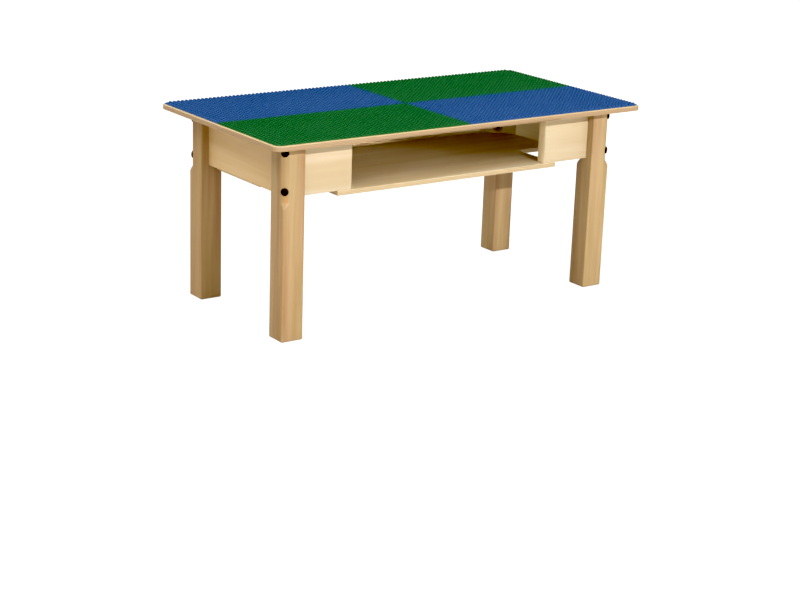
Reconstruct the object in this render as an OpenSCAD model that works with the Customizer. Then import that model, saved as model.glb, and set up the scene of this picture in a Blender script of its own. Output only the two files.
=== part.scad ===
// Low play table for children. Four studded building plates cover the top, and an open
// storage shelf hangs under the aprons, reached through a wide opening in the front.
// The origin is on the floor at the middle of the footprint, X runs along the table,
// the storage opening faces -Y and Z is up. All sizes are in millimetres.

/* [Studded plates] */
// Distance from one stud to the next
stud_pitch = 8; // [7:0.5:12]
// Diameter of a stud
stud_d = 4.8; // [3.5:0.1:6]
// Height of a stud above its plate
stud_h = 1.8; // [1:0.1:3]
// Thickness of a plate between its studs
plate_t = 1.4; // [0.8:0.1:3]
// Studs along one plate
plate_studs_x = 48; // [32:1:60]
// Studs across one plate
plate_studs_y = 24; // [20:1:30]
// Gap between neighbouring plates
plate_gap = 0.2; // [0.1:0.1:1]

/* [Tabletop] */
// Thickness of the top panel
top_t = 9; // [8:0.5:25]
// Bare wood left round the plates
top_lip = 4; // [2:0.5:20]
// Radius at the corners of the top panel
top_corner_r = 15; // [10:0.5:40]
// How far the top panel reaches past the outer faces of the legs
top_overhang = 38; // [20:0.5:50]

/* [Legs] */
// Height of a leg, from the floor to the underside of the top panel
leg_h = 336; // [280:1:600]
// Width of a square leg
leg_w = 41.5; // [37:0.5:60]
// Width that a leg chamfer takes off each of its two faces
leg_chamfer = 10; // [9:0.5:13]
// How far the full chamfer reaches below the aprons
chamfer_drop = 5.5; // [2:0.5:40]
// Length of the slope that ends a leg chamfer
chamfer_runout = 12; // [5:0.5:40]

/* [Aprons] */
// Height of the aprons
apron_h = 91.5; // [80:0.5:120]
// Thickness of the aprons
apron_t = 18; // [12:0.5:19]
// How far the aprons stand back from the outer faces of the legs
apron_setback = 15; // [2:0.5:16]
// Width of the storage opening between the two front aprons
opening_w = 415; // [200:1:460]

/* [Storage shelf] */
// Thickness of the shelf
shelf_t = 8.5; // [6:0.5:20]
// How far the shelf runs under each front apron
shelf_lap = 28; // [12:0.5:40]
// How far the shelf runs under each side apron
shelf_side_lap = 3; // [1:0.5:8]
// Depth of the notches in the front corners of the shelf
shelf_notch = 111; // [60:1:150]
// Gap left round the back legs where they pass the shelf
shelf_leg_gap = 2; // [0.5:0.5:8]

/* [Rounded edges] */
// Radius on the long edges of the boards and legs
wood_ease = 1.5; // [0.5:0.25:3]

/* [Corner blocks] */
// Thickness of a corner block, from the leg to its inner face
block_t = 30; // [22:0.5:36]
// Distance from the ends of a block to the top and bottom of the aprons
block_inset = 1; // [0.5:0.5:5]
// Least amount by which a block's nose is cut back where it meets the leg, along each apron
block_nose = 4; // [2:0.5:5]

/* [Leg bolts] */
// Diameter of a leg bolt
bolt_d = 8; // [5:0.5:8]
// Diameter of a leg bolt's domed head
bolt_head_d = 13; // [10:0.5:14]
// Height of a leg bolt's head
bolt_head_h = 4.4; // [3:0.1:6]
// Size of the hexagon socket, across its flats
bolt_socket = 5; // [3:0.5:6]
// Depth of the hexagon socket
bolt_socket_depth = 2.6; // [1:0.1:2.8]
// Distance from the upper bolt to the top of the aprons, and from the lower one to their bottom
bolt_edge = 13.5; // [12:0.5:20]
// Length of bolt that stands out past its nut
bolt_spare = 2; // [0:0.5:6]
// Width of a nut's flange
nut_flange_d = 20; // [17:0.5:22]
// Thickness of a nut's flange
nut_flange_t = 1.5; // [1:0.1:3]
// Diameter of a nut's barrel
nut_barrel_d = 10.5; // [9.5:0.5:12]
// Length of a nut's barrel
nut_barrel_l = 9; // [6:0.5:14]
// Clearance on the diameter between a bolt and its nut
thread_clearance = 0.1; // [0.05:0.05:0.3]
// Clearance on the diameter of every bolt and screw hole
hole_clearance = 0.4; // [0.1:0.1:0.8]

/* [Screws] */
// Diameter of the wood screws
screw_d = 4; // [3:0.5:4.5]
// Diameter of the wood screws' heads
screw_head_d = 8; // [6:0.5:8.5]
// Height of the wood screws' heads
screw_head_h = 2.4; // [1.5:0.1:3]
// Depth that a screw enters the wood that it holds on to
screw_bite = 12; // [8:0.5:12]
// Depth that a screw enters the top panel
top_bite = 6; // [4:0.5:6.5]
// Block thickness under the heads of the block screws
block_grip = 12; // [8:0.5:14]
// Distance between the two block screws in each apron
block_screw_spacing = 32; // [20:1:36]
// Angle of the pocket screws to the upright
pocket_angle = 15; // [10:1:20]
// Length of apron between a pocket and the top panel
pocket_depth = 13; // [10:0.5:16]
// Diameter of the pocket that holds a screw head
pocket_d = 9.5; // [9:0.5:11]
// Distance from the ends of the back apron to its outer pocket screws
back_screw_end = 131.5; // [60:0.5:160]
// Distance from the ends of a side apron to its pocket screws
side_screw_end = 72; // [50:0.5:90]
// Distance from the storage opening to the pocket screw of a front apron
front_screw_end = 30; // [20:0.5:45]
// Distance from the ends of the back apron to the outer screws of the shelf
shelf_screw_end = 71; // [30:0.5:100]

/* [Hidden] */
$fn = 48;
cut = 1;                                      // how far a cutting tool runs past a face

// the field of studs and the top panel round it
plate_l = plate_studs_x * stud_pitch;
plate_w = plate_studs_y * stud_pitch;
top_l = 2 * (plate_l + top_lip);
top_w = 2 * (plate_w + top_lip);
plate_corner_r = max(0.5, top_corner_r - top_lip);

// faces of the legs and aprons, in the corner where x and y are positive
leg_x = top_l / 2 - top_overhang;
leg_y = top_w / 2 - top_overhang;
leg_in_x = leg_x - leg_w;
leg_in_y = leg_y - leg_w;
apron_x = leg_x - apron_setback;
apron_y = leg_y - apron_setback;
apron_in_x = apron_x - apron_t;
apron_in_y = apron_y - apron_t;
apron_z = leg_h - apron_h;
chamfer_z = apron_z - chamfer_drop;

// planes across the corner are given by the sum of x and y on them
outer_flat = leg_x + leg_y - leg_chamfer;
inner_flat = min(leg_in_x + leg_in_y + leg_chamfer, apron_in_x + apron_in_y - block_nose);
inner_chamfer = inner_flat - leg_in_x - leg_in_y;
block_face = inner_flat - block_t * sqrt(2);
bolt_z = [apron_z + bolt_edge, leg_h - bolt_edge];
bolt_grip = (outer_flat - block_face) / sqrt(2) + nut_flange_t;
// middle of a leg, which its bolts pass through
leg_mid_x = leg_x - leg_w / 2;
leg_mid_y = leg_y - leg_w / 2;

// screws
hole_d = screw_d + hole_clearance;
block_screw_z = [for (s = [-1, 1]) apron_z + apron_h / 2 + s * block_screw_spacing / 2];
block_screw_x = block_face - (apron_in_y - block_grip - screw_head_d / 2);
block_screw_y = block_face - (apron_in_x - block_grip - screw_head_d / 2);
front_screw_x = opening_w / 2 + front_screw_end;
back_screw_x = [for (i = [-1:1]) i * (leg_in_x - back_screw_end)];
side_screw_y = [for (s = [-1, 1]) s * (leg_in_y - side_screw_end)];
shelf_front_screw_x = opening_w / 2 + shelf_lap / 2;
shelf_back_screw_x = [for (i = [-3:2:3]) i / 3 * (leg_in_x - shelf_screw_end)];

// ---- shapes that repeat ----

// rectangle a by b round the origin, with corners of radius r
module rounded_rectangle(a, b, r) {
    square([a - 2 * r, b], center = true);
    square([a, b - 2 * r], center = true);
    for (x = [-1, 1])
        for (y = [-1, 1])
            translate([x * (a / 2 - r), y * (b / 2 - r)])
                circle(r);
}

// board along X with eased long edges, from x0 to x1 and y0 to y1, standing on z0
module board_x(x0, x1, y0, y1, z0, h) {
    translate([x0, (y0 + y1) / 2, z0 + h / 2])
        rotate([90, 0, 90])
            linear_extrude(x1 - x0)
                rounded_rectangle(y1 - y0, h, wood_ease);
}

// board along Y with eased long edges
module board_y(x0, x1, y0, y1, z0, h) {
    translate([(x0 + x1) / 2, y1, z0 + h / 2])
        rotate([90, 0, 0])
            linear_extrude(y1 - y0)
                rounded_rectangle(x1 - x0, h, wood_ease);
}

// moves what is drawn where x and y are positive to another corner of the table
module corner(x_side, y_side) {
    mirror([x_side > 0 ? 0 : 1, 0, 0])
        mirror([0, y_side > 0 ? 0 : 1, 0])
            children();
}

module every_corner() {
    for (x = [-1, 1])
        for (y = [-1, 1])
            corner(x, y)
                children();
}

// places something at height z on the diagonal through a leg, with +Z along it, pointing outwards;
// flat is the sum of x and y where it starts
module on_diagonal(flat, z) {
    inwards = (leg_mid_x + leg_mid_y - flat) / 2;
    translate([leg_mid_x - inwards, leg_mid_y - inwards, z])
        rotate([90, 0, 135])
            children();
}

// turns something that points up so that it leans like a pocket screw at the top of an apron,
// whose inner face looks towards -X
module pocket_place(x, y, turn) {
    translate([x, y, leg_h])
        rotate([0, 0, turn])
            rotate([0, pocket_angle, 0])
                children();
}

// every pocket screw of one apron
module side_pockets(x_side) {
    for (y = side_screw_y)
        pocket_place(x_side * (apron_x - apron_t / 2), y, x_side > 0 ? 0 : 180)
            children();
}

module back_pockets() {
    for (x = back_screw_x)
        pocket_place(x, apron_y - apron_t / 2, 90)
            children();
}

module front_pocket(x_side) {
    pocket_place(x_side * front_screw_x, -apron_y + apron_t / 2, -90)
        children();
}

// ---- studded plates ----

// true where a stud lies wholly inside the rounded corner of the plates
function stud_fits(x, y) =
    let (from_x = x - (plate_l - plate_corner_r), from_y = y - (plate_w - plate_corner_r))
    from_x < 0 || from_y < 0 || norm([from_x, from_y]) + stud_d / 2 <= plate_corner_r;

// one plate, in the corner where x and y are positive
module stud_plate() {
    translate([0, 0, leg_h + top_t]) {
        linear_extrude(plate_t)
            intersection() {
                translate([plate_gap / 2, plate_gap / 2])
                    square([plate_l, plate_w]);
                rounded_rectangle(2 * plate_l, 2 * plate_w, plate_corner_r);
            }
        for (i = [0:plate_studs_x - 1])
            for (j = [0:plate_studs_y - 1]) {
                x = (i + 0.5) * stud_pitch;
                y = (j + 0.5) * stud_pitch;
                if (stud_fits(x, y))
                    translate([x, y, plate_t / 2])
                        cylinder(d = stud_d, h = plate_t / 2 + stud_h);
            }
    }
}

module stud_plate_back_left() { color("royalblue") corner(-1, 1) stud_plate(); }
module stud_plate_back_right() { color("forestgreen") corner(1, 1) stud_plate(); }
module stud_plate_front_left() { color("forestgreen") corner(-1, -1) stud_plate(); }
module stud_plate_front_right() { color("royalblue") corner(1, -1) stud_plate(); }

// ---- top panel ----

// section through the edge of the panel, from the middle of a corner outwards
module panel_edge() {
    translate([0, top_t / 2])
        intersection() {
            rounded_rectangle(2 * top_corner_r, top_t, wood_ease);
            translate([0, -top_t])
                square([top_corner_r, 2 * top_t]);
        }
}

module tabletop() {
    straight_x = top_l / 2 - top_corner_r;
    straight_y = top_w / 2 - top_corner_r;
    color("burlywood")
        difference() {
            union() {
                board_x(-straight_x, straight_x, -top_w / 2, top_w / 2, leg_h, top_t);
                board_y(-top_l / 2, top_l / 2, -straight_y, straight_y, leg_h, top_t);
                every_corner()
                    translate([straight_x, straight_y, leg_h])
                        rotate_extrude()
                            panel_edge();
            }
            for (x_side = [-1, 1]) {
                side_pockets(x_side)
                    top_pilot_hole();
                front_pocket(x_side)
                    top_pilot_hole();
            }
            back_pockets()
                top_pilot_hole();
        }
}

// hole in the top panel for a pocket screw; it starts below the panel, as it leans
module top_pilot_hole() {
    translate([0, 0, -screw_bite])
        cylinder(d = hole_d, h = screw_bite + top_bite + hole_clearance);
}

// ---- legs ----

// wedge that takes a chamfer of the given width off a corner of a leg, down to a slope;
// flat_d is how far the chamfer's flat lies from the middle of the leg along the diagonal
module chamfer_wedge(width) {
    arris = leg_w / sqrt(2);
    flat_d = arris - width / sqrt(2);
    slope = chamfer_runout / (arris - flat_d);
    rotate([90, 0, 0])
        linear_extrude(2 * leg_w, center = true)
            polygon([
                [flat_d, chamfer_z],
                [flat_d, leg_h + cut],
                [arris + cut, leg_h + cut],
                [arris + cut, chamfer_z - chamfer_runout - slope * cut],
            ]);
}

module leg() {
    difference() {
        translate([leg_mid_x, leg_mid_y, 0])
            difference() {
                linear_extrude(leg_h)
                    rounded_rectangle(leg_w, leg_w, wood_ease);
                rotate([0, 0, 45])
                    chamfer_wedge(leg_chamfer);
                rotate([0, 0, 225])
                    chamfer_wedge(inner_chamfer);
            }
        for (z = bolt_z)
            on_diagonal(inner_flat, z)
                translate([0, 0, -cut])
                    cylinder(d = bolt_d + hole_clearance, h = 2 * leg_w);
    }
}

module leg_front_left() { color("tan") corner(-1, -1) leg(); }
module leg_front_right() { color("tan") corner(1, -1) leg(); }
module leg_back_left() { color("tan") corner(-1, 1) leg(); }
module leg_back_right() { color("tan") corner(1, 1) leg(); }

// ---- aprons ----

// pocket and clearance hole of one pocket screw
module pocket_cut() {
    translate([0, 0, -pocket_depth - apron_h])
        cylinder(d = pocket_d, h = apron_h);
    translate([0, 0, -pocket_depth - cut])
        cylinder(d = hole_d, h = pocket_depth + 2 * cut + screw_d);
}

// blind holes for the block screws that enter the aprons at every corner
module block_screw_holes() {
    every_corner()
        block_screw_places()
            translate([0, 0, -cut])
                cylinder(d = hole_d, h = screw_bite + hole_clearance + cut);
}

// blind holes in the undersides of the aprons for the shelf's screws
module shelf_screw_holes() {
    shelf_screw_places()
        translate([0, 0, -cut])
            cylinder(d = hole_d, h = screw_bite + hole_clearance + cut);
}

module side_apron(x_side) {
    color("wheat")
        difference() {
            corner(x_side, 1)
                board_y(apron_in_x, apron_x, -leg_in_y, leg_in_y, apron_z, apron_h);
            side_pockets(x_side)
                pocket_cut();
            block_screw_holes();
        }
}

module side_apron_left() { side_apron(-1); }
module side_apron_right() { side_apron(1); }

module back_apron() {
    color("wheat")
        difference() {
            board_x(-leg_in_x, leg_in_x, apron_in_y, apron_y, apron_z, apron_h);
            back_pockets()
                pocket_cut();
            block_screw_holes();
            shelf_screw_holes();
        }
}

module front_apron(x_side) {
    color("wheat")
        difference() {
            corner(x_side, -1)
                board_x(opening_w / 2, leg_in_x, apron_in_y, apron_y, apron_z, apron_h);
            front_pocket(x_side)
                pocket_cut();
            block_screw_holes();
            shelf_screw_holes();
        }
}

module front_apron_left() { front_apron(-1); }
module front_apron_right() { front_apron(1); }

// ---- storage shelf ----

module storage_shelf() {
    tongue = opening_w / 2 + shelf_lap;
    shelf_x = apron_in_x + shelf_side_lap;
    color("wheat")
        difference() {
            union() {
                board_x(-tongue, tongue, -apron_y, apron_y, apron_z - shelf_t, shelf_t);
                board_x(-shelf_x, shelf_x, shelf_notch - apron_y, apron_y, apron_z - shelf_t, shelf_t);
            }
            for (x_side = [-1, 1])
                corner(x_side, 1)
                    translate([leg_in_x - shelf_leg_gap, leg_in_y - shelf_leg_gap, apron_z - shelf_t - cut])
                        cube([leg_w, leg_w, shelf_t + 2 * cut]);
            shelf_screw_places() {
                translate([0, 0, -shelf_t - cut])
                    cylinder(d = hole_d, h = shelf_t + 2 * cut);
                translate([0, 0, -shelf_t])
                    screw_cone(hole_clearance);
            }
        }
}

// ---- corner blocks ----

// glued into the corner of two aprons, flat against the inner chamfer of the leg
module corner_block() {
    color("peru")
        difference() {
            translate([0, 0, apron_z + block_inset])
                linear_extrude(apron_h - 2 * block_inset)
                    polygon([
                        [apron_in_x, inner_flat - apron_in_x],
                        [inner_flat - apron_in_y, apron_in_y],
                        [block_face - apron_in_y, apron_in_y],
                        [apron_in_x, block_face - apron_in_x],
                    ]);
            for (z = bolt_z)
                on_diagonal(block_face, z) {
                    translate([0, 0, -cut])
                        cylinder(d = bolt_d + hole_clearance, h = block_t + 2 * cut);
                    translate([0, 0, -cut])
                        cylinder(d = nut_barrel_d + hole_clearance, h = nut_barrel_l + cut + hole_clearance);
                }
            block_screw_places() {
                translate([0, 0, -block_grip - cut])
                    cylinder(d = hole_d, h = block_grip + 2 * cut);
                translate([0, 0, -block_grip - block_t])
                    cylinder(d = screw_head_d + hole_clearance, h = block_t);
            }
        }
}

module corner_block_front_left() { corner(-1, -1) corner_block(); }
module corner_block_front_right() { corner(1, -1) corner_block(); }
module corner_block_back_left() { corner(-1, 1) corner_block(); }
module corner_block_back_right() { corner(1, 1) corner_block(); }

// ---- bolts and nuts ----

// half section of a domed head that sits on z = 0
module domed_head() {
    dome_r = (pow(bolt_head_d / 2, 2) + pow(bolt_head_h, 2)) / (2 * bolt_head_h);
    intersection() {
        translate([0, bolt_head_h - dome_r])
            circle(dome_r, $fn = 96);
        square([bolt_head_d / 2, bolt_head_h]);
    }
}

// bolt with its head's underside at z = 0 and its shank downwards
module leg_bolt() {
    difference() {
        union() {
            rotate_extrude()
                domed_head();
            translate([0, 0, -bolt_grip - bolt_spare])
                cylinder(d = bolt_d, h = bolt_grip + bolt_spare + cut);
        }
        translate([0, 0, bolt_head_h - bolt_socket_depth])
            cylinder(d = bolt_socket / cos(30), h = bolt_head_h, $fn = 6);
    }
}

module leg_bolts() {
    color("black")
        every_corner()
            for (z = bolt_z)
                on_diagonal(outer_flat, z)
                    leg_bolt();
}

// nut whose flange lies on z = 0 and whose barrel points up
module flanged_nut() {
    difference() {
        union() {
            translate([0, 0, -nut_flange_t])
                cylinder(d = nut_flange_d, h = nut_flange_t);
            cylinder(d = nut_barrel_d, h = nut_barrel_l);
        }
        translate([0, 0, -nut_flange_t - cut])
            cylinder(d = bolt_d + thread_clearance, h = nut_flange_t + nut_barrel_l + 2 * cut);
    }
}

module flanged_nuts() {
    color("silver")
        every_corner()
            for (z = bolt_z)
                on_diagonal(block_face, z)
                    flanged_nut();
}

// ---- screws ----

// places of the four screws of one block, each at the inner face of its apron and pointing into it
module block_screw_places() {
    for (z = block_screw_z) {
        translate([block_screw_x, apron_in_y, z])
            rotate([-90, 0, 0])
                children();
        translate([apron_in_x, block_screw_y, z])
            rotate([0, 90, 0])
                children();
    }
}

// places of the shelf's screws, at the underside of the aprons and pointing up
module shelf_screw_places() {
    for (x_side = [-1, 1])
        translate([x_side * shelf_front_screw_x, -apron_y + apron_t / 2, apron_z])
            children();
    for (x = shelf_back_screw_x)
        translate([x, apron_y - apron_t / 2, apron_z])
            children();
}

// countersunk head that starts at z = 0 and narrows upwards
module screw_cone(extra) {
    cylinder(d1 = screw_head_d + extra, d2 = screw_d + extra, h = (screw_head_d - screw_d) / 2);
}

// screw with a flat head under grip millimetres of wood, and its bite above z = 0
module flat_head_screw(grip, bite) {
    translate([0, 0, -grip - screw_head_h])
        cylinder(d = screw_head_d, h = screw_head_h);
    translate([0, 0, -grip])
        cylinder(d = screw_d, h = grip + bite);
}

module block_screws() {
    color("silver")
        every_corner()
            block_screw_places()
                flat_head_screw(block_grip, screw_bite);
}

module top_screws() {
    color("silver") {
        for (x_side = [-1, 1]) {
            side_pockets(x_side)
                flat_head_screw(pocket_depth, top_bite);
            front_pocket(x_side)
                flat_head_screw(pocket_depth, top_bite);
        }
        back_pockets()
            flat_head_screw(pocket_depth, top_bite);
    }
}

module shelf_screws() {
    color("silver")
        shelf_screw_places() {
            translate([0, 0, -shelf_t])
                screw_cone(0);
            translate([0, 0, -shelf_t])
                cylinder(d = screw_d, h = shelf_t + screw_bite);
        }
}

tabletop();
stud_plate_back_left();
stud_plate_back_right();
stud_plate_front_left();
stud_plate_front_right();
leg_front_left();
leg_front_right();
leg_back_left();
leg_back_right();
side_apron_left();
side_apron_right();
back_apron();
front_apron_left();
front_apron_right();
storage_shelf();
corner_block_front_left();
corner_block_front_right();
corner_block_back_left();
corner_block_back_right();
leg_bolts();
flanged_nuts();
block_screws();
top_screws();
shelf_screws();
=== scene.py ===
# %% [markdown]
# # A low play table with a storage shelf
# The table is 776 mm long, 392 mm deep and 348 mm high. Four solid wood legs are bolted to a
# ring of plywood aprons, a thin plywood panel closes the top, and four plastic building plates
# cover the panel. The front has a wide opening, and a plywood shelf hangs under the aprons.
# A finished CAD model of it is the frame of this scene. This script gives each piece its
# finish, and models again, in more detail, the pieces whose edges and heads show from near.

import math

import bmesh
import bpy
import numpy as np
from mathutils import Matrix, Vector


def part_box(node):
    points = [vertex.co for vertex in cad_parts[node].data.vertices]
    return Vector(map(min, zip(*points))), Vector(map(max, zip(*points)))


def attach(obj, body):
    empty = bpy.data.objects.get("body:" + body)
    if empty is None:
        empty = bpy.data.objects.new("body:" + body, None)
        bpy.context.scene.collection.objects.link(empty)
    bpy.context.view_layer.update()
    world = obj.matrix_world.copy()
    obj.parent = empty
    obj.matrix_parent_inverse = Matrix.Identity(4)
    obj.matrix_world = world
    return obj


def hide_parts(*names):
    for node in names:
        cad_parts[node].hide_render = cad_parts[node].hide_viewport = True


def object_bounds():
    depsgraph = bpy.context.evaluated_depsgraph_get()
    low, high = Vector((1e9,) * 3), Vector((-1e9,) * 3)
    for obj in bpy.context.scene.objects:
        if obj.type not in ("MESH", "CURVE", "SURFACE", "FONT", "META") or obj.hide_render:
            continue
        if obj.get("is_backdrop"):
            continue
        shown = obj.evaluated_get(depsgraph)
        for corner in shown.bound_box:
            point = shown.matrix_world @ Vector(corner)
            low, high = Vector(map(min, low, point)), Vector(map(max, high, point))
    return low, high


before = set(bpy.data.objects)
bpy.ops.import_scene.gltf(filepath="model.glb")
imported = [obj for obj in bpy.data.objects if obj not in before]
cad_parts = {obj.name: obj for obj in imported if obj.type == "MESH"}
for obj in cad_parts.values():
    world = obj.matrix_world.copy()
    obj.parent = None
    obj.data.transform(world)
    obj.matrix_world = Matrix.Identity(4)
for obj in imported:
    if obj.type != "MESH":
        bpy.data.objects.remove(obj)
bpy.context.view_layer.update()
mm = 0.001

# %% [markdown]
# ## The camera
# A product picture is taken from far away with a long lens, so that the legs stay almost
# parallel. A camera starts by looking straight down. Here it rolls a little, tips up until it
# looks a little below the horizon, and turns towards the table.
# Making it first means that every later choice can be judged in the real view.

# %% Make the camera
camera_place = Vector((-1859.8, -2602.5, 980.2)) * mm
camera_turn = -35.59
camera_pitch = -17.38
camera_roll = 2.03
image_width = 800
focal_pixels = 1817.5

camera = bpy.data.cameras.new("product_camera")
camera.sensor_width = 36
camera.lens = focal_pixels * camera.sensor_width / image_width
camera_object = bpy.data.objects.new("product_camera", camera)
camera_object.matrix_world = (
    Matrix.Translation(camera_place)
    @ Matrix.Rotation(math.radians(camera_turn), 4, "Z")
    @ Matrix.Rotation(math.radians(90 + camera_pitch), 4, "X")
    @ Matrix.Rotation(math.radians(camera_roll), 4, "Z")
)
bpy.context.scene.collection.objects.link(camera_object)
bpy.context.scene.camera = camera_object
print("lens in mm:", round(camera.lens, 1))

# %% [markdown]
# ## Shader maths as Python
# A material is a net of small nodes. Written out node by node it is long and hard to read, so
# three small classes help. The first, `Wire`, stands for one output of a node. Arithmetic on
# it adds Math nodes, so that `1 - mask` is written as it is meant.

# %% Make the wires
class Wire:
    """One output of a node. Arithmetic on it adds Math nodes."""

    def __init__(self, net, socket):
        self.net = net
        self.socket = socket

    def __add__(self, other):
        return self.net.math("ADD", self, other)

    def __radd__(self, other):
        return self.net.math("ADD", other, self)

    def __sub__(self, other):
        return self.net.math("SUBTRACT", self, other)

    def __rsub__(self, other):
        return self.net.math("SUBTRACT", other, self)

    def __mul__(self, other):
        return self.net.math("MULTIPLY", self, other)

    def __rmul__(self, other):
        return self.net.math("MULTIPLY", other, self)

    def __truediv__(self, other):
        return self.net.math("DIVIDE", self, other)


print("a wire's methods:", [name for name in vars(Wire) if callable(vars(Wire)[name])])

# %% [markdown]
# `Net` makes the nodes of a tree and links them. Any node comes from one method, which takes
# its type, its settings and what goes into its sockets. The other methods are short names for
# the nodes that this scene uses most.

# %% Make the nets
class Net:
    """A node tree that is being wired."""

    def __init__(self, tree):
        self.nodes = tree.nodes
        self.links = tree.links

    def node(self, kind, settings=None, inputs=None, output=0):
        """Adds a node, with its settings first and then its sockets' values or wires."""
        made = self.nodes.new("ShaderNode" + kind)
        for name, value in (settings or {}).items():
            setattr(made, name, value)
        for name, value in (inputs or {}).items():
            self.plug(made.inputs[name], value)
        return Wire(self, made.outputs[output])

    def plug(self, socket, value):
        """Links a wire to a socket, or sets the socket to a plain value."""
        if isinstance(value, Wire):
            self.links.new(value.socket, socket)
        else:
            socket.default_value = value

    def math(self, operation, *values):
        return self.node("Math", {"operation": operation}, dict(enumerate(values)))

    def mix(self, share, first, second):
        """Mixes two colours."""
        inputs = {0: share, 6: first, 7: second}
        return self.node("Mix", {"data_type": "RGBA"}, inputs, output=2)

    def range(self, value, low, high):
        """0 where the value is at most low, 1 where it is at least high, and smooth between."""
        settings = {"interpolation_type": "SMOOTHSTEP"}
        return self.node("MapRange", settings, {"Value": value, "From Min": low, "From Max": high})

    def noise(self, vector, scale, detail=2.0, distortion=0.0):
        inputs = {"Vector": vector, "Scale": scale, "Detail": detail, "Distortion": distortion}
        return self.node("TexNoise", None, inputs)

    def part(self, vector, axis):
        """One of a vector's three parts."""
        return self.node("SeparateXYZ", None, {0: vector}, output="XYZ".index(axis))


print("a net's methods:", [name for name in vars(Net) if not name.startswith("_")])

# %% [markdown]
# `Finish` is the net of one material, made around Blender's all-round Principled shader.
# Colours are written as hex codes, as on a paint chart, and a shader needs them linear.

# %% Make finishes and colours
class Finish(Net):
    """A material that is being made around one Principled shader."""

    def __init__(self, name):
        self.material = bpy.data.materials.new(name)
        self.material.use_nodes = True
        super().__init__(self.material.node_tree)
        self.shader = self.nodes["Principled BSDF"]

    def dress(self, **sockets):
        """Sets the shader's sockets; an underscore in a name stands for a space."""
        for name, value in sockets.items():
            self.plug(self.shader.inputs[name.replace("_", " ")], value)
        return self.material


def paint(code):
    """A colour from a six-figure hex code, made linear."""
    parts = [int(code[i:i + 2], 16) / 255 for i in (0, 2, 4)]
    return (*[((p + 0.055) / 1.055) ** 2.4 if p > 0.04 else p / 12.92 for p in parts], 1)


print("a pale wood colour, linear:", [round(part, 3) for part in paint("DAC09A")])

# %% [markdown]
# ## The light
# Six soft lights stand round the table: a dome overhead, a high one on the left, which the
# top keeps off what stands under it, low ones on the left, in front and on the front right,
# and a faint one behind. They are lobes of the world's glow. A lobe has no hard edge: it fades
# in or out between two values of how far a direction points up or to a side.

# %% Choose the soft lights
dome_glow, dome_above = 4.2, (0.78, 0.92)
left_glow, left_from = 4.7, (0.3, 0.5)
left_above, left_below = (0.52, 0.62), (0.8, 0.9)
low_below = (0.2, 0.32)
low_left_glow, low_left_from = 1.9, (0.6, 0.8)
front_glow, front_from = 3.0, (0.6, 0.8)
right_glow, right_from, right_below = 1.0, (0.84, 0.94), (0.13, 0.22)
back_glow, back_from, back_above = 1.0, (0.2, 0.6), (0.2, 0.4)
diagonal = 0.7
high_light, low_light = paint("FFFFFF"), paint("FFFBF4")
print("the strongest soft light glows at", max(dome_glow, left_glow, front_glow))

# %% [markdown]
# A world is a net of nodes too, and Generated gives it the direction of each ray. A lobe is a
# product of ranges of that direction, and the glow is the sum of the lobes. Seen by the camera
# itself the world is plain white.

# %% Light the studio
world = bpy.data.worlds.new("studio")
bpy.context.scene.world = world
world.use_nodes = True
sky = Net(world.node_tree)
direction = sky.node("TexCoord", output="Generated")
up = sky.part(direction, "Z")
left = 0 - sky.part(direction, "X")
front = 0 - sky.part(direction, "Y")
front_right = diagonal * front - diagonal * left
dome_lobe = sky.range(up, *dome_above)
left_lobe = sky.range(left, *left_from) * sky.range(up, *left_above)
left_lobe = left_lobe * (1 - sky.range(up, *left_below))
low = 1 - sky.range(up, *low_below)
low_left_lobe = sky.range(left, *low_left_from) * low
front_lobe = sky.range(front, *front_from) * low
right_lobe = sky.range(front_right, *right_from) * (1 - sky.range(up, *right_below))
back_lobe = sky.range(0 - front, *back_from) * sky.range(up, *back_above)
glow = dome_glow * dome_lobe + left_glow * left_lobe + front_glow * front_lobe
glow = glow + low_left_glow * low_left_lobe + right_glow * right_lobe + back_glow * back_lobe
seen = sky.node("LightPath", output="Is Camera Ray")
background = sky.nodes["Background"].inputs
sky.plug(background["Color"], sky.mix(low * (1 - seen), high_light, low_light))
sky.plug(background["Strength"], seen + (1 - seen) * glow)
print("nodes in the studio's world:", len(sky.nodes))

# %% [markdown]
# One small lamp in front of the left legs, about 25 degrees up, throws the front left leg's
# shadow on the leg behind it. On the back right leg it leaves a shadow with a sharp edge. A
# lamp shines down its own -Z, so a helper turns it towards a point.

# %% Hang the small lamp
lamp_place = Vector((-0.33, -4.0, 2.0))
lamp_aim = Vector((-0.33, 0, 0.16))
lamp_size = 0.06
lamp_power = 189
plain_light = (1, 1, 1)


def add_lamp(name, place, aim, power, width, height=0, beam=180, tint=plain_light):
    """A lamp that looks at a point: round, or a strip if it has a height. The beam's angle is
    in degrees, and the tint is the light's colour. A strip leaves no glints."""
    lamp = bpy.data.lights.new(name, "AREA")
    lamp.shape = "RECTANGLE" if height else "DISK"
    lamp.size = width
    if height:
        lamp.size_y = height
    lamp.energy = power
    lamp.color = tint
    lamp.spread = math.radians(beam)
    lamp_object = bpy.data.objects.new(name, lamp)
    lamp_object.location = place
    lamp_object.rotation_mode = "QUATERNION"
    lamp_object.rotation_quaternion = (aim - place).to_track_quat("-Z", "Y")
    lamp_object.visible_camera = False
    lamp_object.visible_glossy = not height
    bpy.context.scene.collection.objects.link(lamp_object)


add_lamp("key_lamp", lamp_place, lamp_aim, lamp_power, lamp_size)
print("lamp distance in m:", round((lamp_aim - lamp_place).length, 2))

# %% [markdown]
# A photographer keeps a hard light out of a hollow with a scrim, a small gauze on a stand. This
# one hangs between the lamp and the opening, so that the lamp doesn't throw the top's hard
# shadow on the shelf. It thins out downwards, and the camera doesn't see it. Its upper edge
# runs along the top's front edge as the lamp sees it, so no line of light gets past.

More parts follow.
